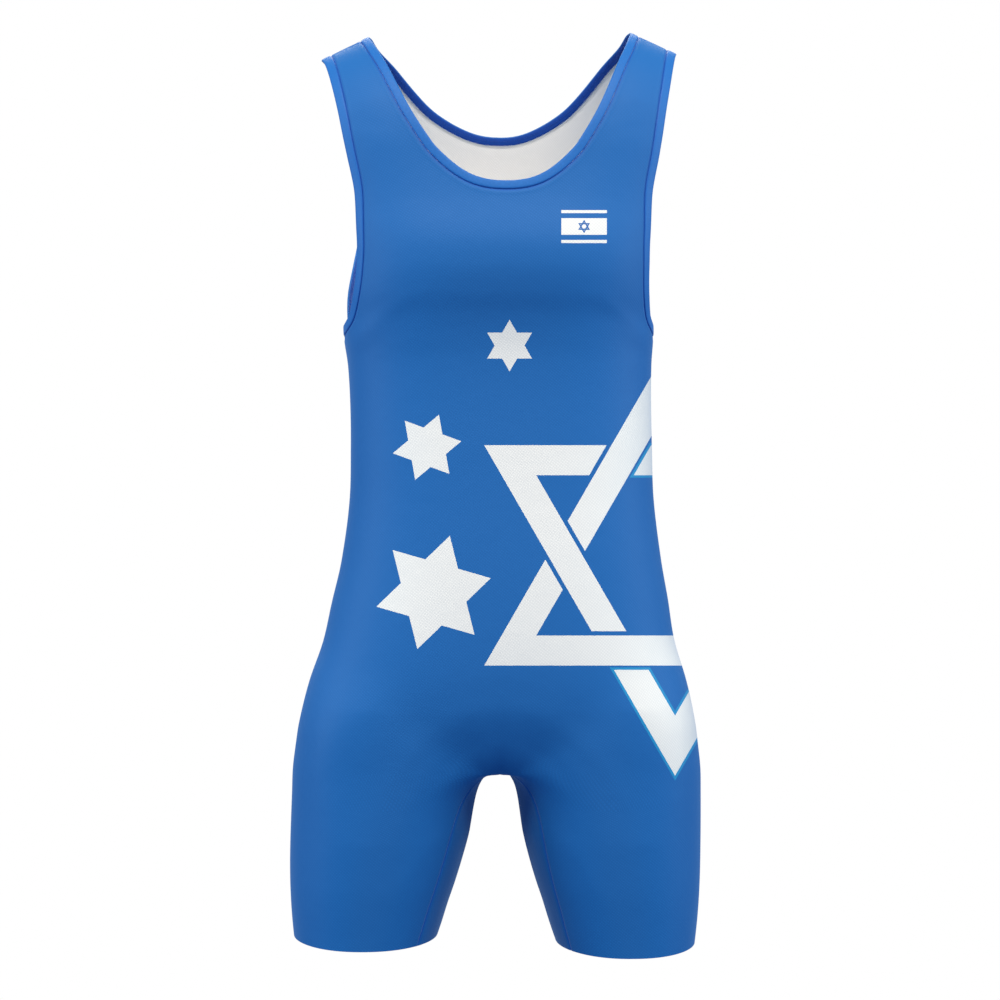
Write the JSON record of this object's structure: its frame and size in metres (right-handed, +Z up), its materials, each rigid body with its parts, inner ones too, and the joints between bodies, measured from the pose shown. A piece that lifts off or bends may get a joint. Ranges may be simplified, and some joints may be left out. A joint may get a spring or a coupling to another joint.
{
  "type": "wrestling singlet",
  "caption": "One-piece stretch-knit wrestling singlet with tank straps and short legs, worn over the torso and upper thighs.",
  "frame": {"origin": "midway between the two shoulders, at the height where the straps rest on them; the garment hangs from here, so this is where it is held", "axes": "+Z up, from the legs to the shoulders; -Y is the front, +Y the back; +X is the wearer's left side"},
  "size_m": [0.3888, 0.2297, 0.8642],
  "materials": {
    "body_knit": "smooth stretch knit, royal blue, soft sheen",
    "band_knit": "folded stretch binding, same blue, soft sheen"
  },
  "bodies": {
    "root": {"front_panel": "body_knit", "back_panel": "body_knit", "neck_band_front": "band_knit", "neck_band_back": "band_knit", "armhole_band_right": "band_knit", "armhole_band_left": "band_knit"}
  },
  "joints": []
}
